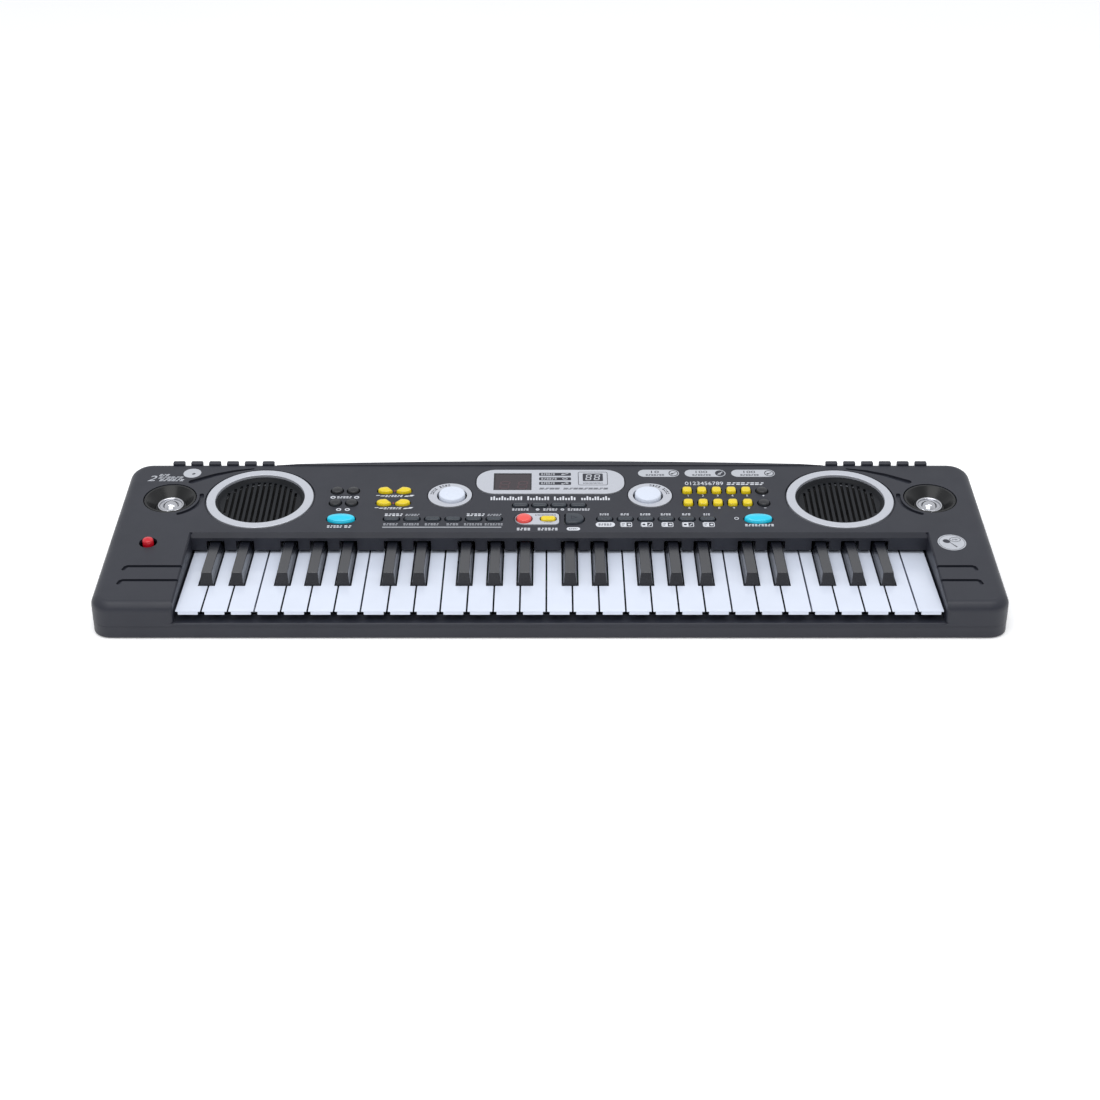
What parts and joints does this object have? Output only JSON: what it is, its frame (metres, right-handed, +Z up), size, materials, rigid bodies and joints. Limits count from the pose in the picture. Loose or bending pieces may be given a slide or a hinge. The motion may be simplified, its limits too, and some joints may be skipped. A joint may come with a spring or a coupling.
{
  "type": "toy electronic keyboard",
  "caption": "Toy electronic keyboard: low wedge case with a row of hinged piano keys, sloping speaker panel, sprung buttons, round speakers and a small display.",
  "frame": {"origin": "middle of the base on the table", "axes": "+X to the player's right, +Y away from the player, +Z up"},
  "size_m": [0.6266, 0.185, 0.0468],
  "materials": {
    "case_grey": "fine matt texture",
    "lower_case_grey": "fine matt texture",
    "key_white": "smooth gloss",
    "key_black": "satin",
    "button_yellow": "semi gloss",
    "button_cyan": "semi gloss",
    "button_white": "semi gloss",
    "button_red": "semi gloss",
    "button_grey": "satin",
    "silver_paint": "satin silver paint on plastic",
    "grille_black": "matt",
    "chrome_trim": "plated",
    "window_tint": "dark tint",
    "display_dark": "dark module with faint digits",
    "board_green": "solder mask",
    "rubber_grey": "silicone",
    "felt": "felt",
    "frame_plastic": "unpainted",
    "steel": "bright",
    "paper_cone": "pressed paper",
    "ferrite": "plain",
    "cell_wrap": "plain wrap",
    "wire_cover": "PVC",
    "foot_rubber": "matt"
  },
  "bodies": {
    "case": {"battery_cells": "cell_wrap", "battery_contacts": "steel", "bottom_case": "lower_case_grey", "button_mat": "rubber_grey", "case_screws": "steel", "demo_discs": "silver_paint", "display_module": "display_dark", "display_plate": "silver_paint", "display_window": "window_tint", "inner_screws": "steel", "key_contact_board": "board_green", "key_contact_rubber": "rubber_grey", "key_felt_strip": "felt", "key_frame": "frame_plastic", "key_pivot_rod": "steel", "main_board": "board_green", "microphone_jack": "frame_plastic", "power_jack": "frame_plastic", "power_switch": "frame_plastic", "record_plate": "silver_paint", "rubber_feet": "foot_rubber", "speaker_grilles": "grille_black", "speaker_rings": "silver_paint", "top_case": "case_grey", "tweeter_cups": "grille_black", "tweeter_domes": "chrome_trim", "tweeter_drivers": "ferrite", "wiring": "wire_cover", "woofer_cones": "paper_cone", "woofer_frames": "steel", "woofer_magnets": "ferrite"},
    "key_a": {"key_a": "key_white"},
    "key_a_sharp": {"key_a_sharp": "key_black"},
    "key_b": {"key_b": "key_white"},
    "key_c": {"key_c": "key_white"},
    "key_c_sharp": {"key_c_sharp": "key_black"},
    "key_d": {"key_d": "key_white"},
    "key_d_sharp": {"key_d_sharp": "key_black"},
    "key_e": {"key_e": "key_white"},
    "key_f": {"key_f": "key_white"},
    "key_f_sharp": {"key_f_sharp": "key_black"},
    "key_g": {"key_g": "key_white"},
    "key_g_sharp": {"key_g_sharp": "key_black"},
    "key_high_c": {"key_high_c": "key_white"},
    "power_button": {"power_button": "button_red"},
    "chord_buttons": {"chord_buttons": "button_grey"},
    "chord_off_button": {"chord_off_button": "button_cyan"},
    "volume_buttons": {"volume_buttons": "button_yellow"},
    "demo_one_button": {"demo_one_button": "button_white"},
    "demo_all_button": {"demo_all_button": "button_white"},
    "left_function_buttons": {"left_function_buttons": "button_grey"},
    "lesson_tempo_buttons": {"lesson_tempo_buttons": "button_grey"},
    "program_button": {"program_button": "button_red"},
    "record_button": {"record_button": "button_yellow"},
    "play_button": {"play_button": "button_grey"},
    "right_sound_buttons": {"right_sound_buttons": "button_grey"},
    "number_buttons": {"number_buttons": "button_yellow"},
    "step_buttons": {"step_buttons": "button_grey"},
    "tone_rhythm_button": {"tone_rhythm_button": "button_cyan"},
    "battery_door": {"battery_door": "lower_case_grey"}
  },
  "joints": [
    {"name": "key_a_hinge", "type": "hinge", "parent": "case", "child": "key_a", "pos_m": [0.0065, 0.0235, 0.0144], "axis": [1, 0, 0], "range_deg": [0, 1.8], "stiffness_Nm_per_rad": 0.6, "springref_deg": -2.86, "deforming": ["key_contact_rubber"]},
    {"name": "key_a_sharp_hinge", "type": "hinge", "parent": "case", "child": "key_a_sharp", "pos_m": [0.0065, 0.0235, 0.0144], "axis": [1, 0, 0], "range_deg": [0, 1.8], "stiffness_Nm_per_rad": 0.6, "springref_deg": -2.86, "deforming": ["key_contact_rubber"]},
    {"name": "key_b_hinge", "type": "hinge", "parent": "case", "child": "key_b", "pos_m": [0.0065, 0.0235, 0.0144], "axis": [1, 0, 0], "range_deg": [0, 1.8], "stiffness_Nm_per_rad": 0.6, "springref_deg": -2.86, "deforming": ["key_contact_rubber"]},
    {"name": "key_c_hinge", "type": "hinge", "parent": "case", "child": "key_c", "pos_m": [0.0065, 0.0235, 0.0144], "axis": [1, 0, 0], "range_deg": [0, 1.8], "stiffness_Nm_per_rad": 0.6, "springref_deg": -2.86, "deforming": ["key_contact_rubber"]},
    {"name": "key_c_sharp_hinge", "type": "hinge", "parent": "case", "child": "key_c_sharp", "pos_m": [0.0065, 0.0235, 0.0144], "axis": [1, 0, 0], "range_deg": [0, 1.8], "stiffness_Nm_per_rad": 0.6, "springref_deg": -2.86, "deforming": ["key_contact_rubber"]},
    {"name": "key_d_hinge", "type": "hinge", "parent": "case", "child": "key_d", "pos_m": [0.0065, 0.0235, 0.0144], "axis": [1, 0, 0], "range_deg": [0, 1.8], "stiffness_Nm_per_rad": 0.6, "springref_deg": -2.86, "deforming": ["key_contact_rubber"]},
    {"name": "key_d_sharp_hinge", "type": "hinge", "parent": "case", "child": "key_d_sharp", "pos_m": [0.0065, 0.0235, 0.0144], "axis": [1, 0, 0], "range_deg": [0, 1.8], "stiffness_Nm_per_rad": 0.6, "springref_deg": -2.86, "deforming": ["key_contact_rubber"]},
    {"name": "key_e_hinge", "type": "hinge", "parent": "case", "child": "key_e", "pos_m": [0.0065, 0.0235, 0.0144], "axis": [1, 0, 0], "range_deg": [0, 1.8], "stiffness_Nm_per_rad": 0.6, "springref_deg": -2.86, "deforming": ["key_contact_rubber"]},
    {"name": "key_f_hinge", "type": "hinge", "parent": "case", "child": "key_f", "pos_m": [0.0065, 0.0235, 0.0144], "axis": [1, 0, 0], "range_deg": [0, 1.8], "stiffness_Nm_per_rad": 0.6, "springref_deg": -2.86, "deforming": ["key_contact_rubber"]},
    {"name": "key_f_sharp_hinge", "type": "hinge", "parent": "case", "child": "key_f_sharp", "pos_m": [0.0065, 0.0235, 0.0144], "axis": [1, 0, 0], "range_deg": [0, 1.8], "stiffness_Nm_per_rad": 0.6, "springref_deg": -2.86, "deforming": ["key_contact_rubber"]},
    {"name": "key_g_hinge", "type": "hinge", "parent": "case", "child": "key_g", "pos_m": [0.0065, 0.0235, 0.0144], "axis": [1, 0, 0], "range_deg": [0, 1.8], "stiffness_Nm_per_rad": 0.6, "springref_deg": -2.86, "deforming": ["key_contact_rubber"]},
    {"name": "key_g_sharp_hinge", "type": "hinge", "parent": "case", "child": "key_g_sharp", "pos_m": [0.0065, 0.0235, 0.0144], "axis": [1, 0, 0], "range_deg": [0, 1.8], "stiffness_Nm_per_rad": 0.6, "springref_deg": -2.86, "deforming": ["key_contact_rubber"]},
    {"name": "key_high_c_hinge", "type": "hinge", "parent": "case", "child": "key_high_c", "pos_m": [0.0065, 0.0235, 0.0144], "axis": [1, 0, 0], "range_deg": [0, 1.8], "stiffness_Nm_per_rad": 0.2, "springref_deg": -2.86, "deforming": ["key_contact_rubber"]},
    {"name": "power_button_press", "type": "slide", "parent": "case", "child": "power_button", "axis": [0, 0.1028, -0.9947], "range_m": [0, 0.0012], "stiffness_N_per_m": 29.1, "springref_m": -0.001},
    {"name": "chord_buttons_press", "type": "slide", "parent": "case", "child": "chord_buttons", "axis": [0, 0.1028, -0.9947], "range_m": [0, 0.0012], "stiffness_N_per_m": 92.7, "springref_m": -0.001, "deforming": ["button_mat"]},
    {"name": "chord_off_button_press", "type": "slide", "parent": "case", "child": "chord_off_button", "axis": [0, 0.1028, -0.9947], "range_m": [0, 0.0012], "stiffness_N_per_m": 72.8, "springref_m": -0.001, "deforming": ["button_mat"]},
    {"name": "volume_buttons_press", "type": "slide", "parent": "case", "child": "volume_buttons", "axis": [0, 0.1028, -0.9947], "range_m": [0, 0.0012], "stiffness_N_per_m": 98, "springref_m": -0.001, "deforming": ["button_mat"]},
    {"name": "demo_one_button_press", "type": "slide", "parent": "case", "child": "demo_one_button", "axis": [0, 0.1028, -0.9947], "range_m": [0, 0.0012], "stiffness_N_per_m": 140.2, "springref_m": -0.001, "deforming": ["button_mat"]},
    {"name": "demo_all_button_press", "type": "slide", "parent": "case", "child": "demo_all_button", "axis": [0, 0.1028, -0.9947], "range_m": [0, 0.0012], "stiffness_N_per_m": 140.2, "springref_m": -0.001, "deforming": ["button_mat"]},
    {"name": "left_function_buttons_press", "type": "slide", "parent": "case", "child": "left_function_buttons", "axis": [0, 0.1028, -0.9947], "range_m": [0, 0.0012], "stiffness_N_per_m": 119.8, "springref_m": -0.001, "deforming": ["button_mat"]},
    {"name": "lesson_tempo_buttons_press", "type": "slide", "parent": "case", "child": "lesson_tempo_buttons", "axis": [0, 0.1028, -0.9947], "range_m": [0, 0.0012], "stiffness_N_per_m": 79.9, "springref_m": -0.001, "deforming": ["button_mat"]},
    {"name": "program_button_press", "type": "slide", "parent": "case", "child": "program_button", "axis": [0, 0.1028, -0.9947], "range_m": [0, 0.0012], "stiffness_N_per_m": 41.3, "springref_m": -0.001, "deforming": ["button_mat"]},
    {"name": "record_button_press", "type": "slide", "parent": "case", "child": "record_button", "axis": [0, 0.1028, -0.9947], "range_m": [0, 0.0012], "stiffness_N_per_m": 24.2, "springref_m": -0.001, "deforming": ["button_mat"]},
    {"name": "play_button_press", "type": "slide", "parent": "case", "child": "play_button", "axis": [0, 0.1028, -0.9947], "range_m": [0, 0.0012], "stiffness_N_per_m": 58.5, "springref_m": -0.001, "deforming": ["button_mat"]},
    {"name": "right_sound_buttons_press", "type": "slide", "parent": "case", "child": "right_sound_buttons", "axis": [0, 0.1028, -0.9947], "range_m": [0, 0.0012], "stiffness_N_per_m": 119.8, "springref_m": -0.001, "deforming": ["button_mat"]},
    {"name": "number_buttons_press", "type": "slide", "parent": "case", "child": "number_buttons", "axis": [0, 0.1028, -0.9947], "range_m": [0, 0.0012], "stiffness_N_per_m": 212.7, "springref_m": -0.001, "deforming": ["button_mat"]},
    {"name": "step_buttons_press", "type": "slide", "parent": "case", "child": "step_buttons", "axis": [0, 0.1028, -0.9947], "range_m": [0, 0.0012], "stiffness_N_per_m": 46.3, "springref_m": -0.001, "deforming": ["button_mat"]},
    {"name": "tone_rhythm_button_press", "type": "slide", "parent": "case", "child": "tone_rhythm_button", "axis": [0, 0.1028, -0.9947], "range_m": [0, 0.0012], "stiffness_N_per_m": 72.8, "springref_m": -0.001, "deforming": ["button_mat"]},
    {"name": "battery_door_slide", "type": "slide", "parent": "case", "child": "battery_door", "axis": [0, -1, 0], "range_m": [0, 0.018]}
  ]
}
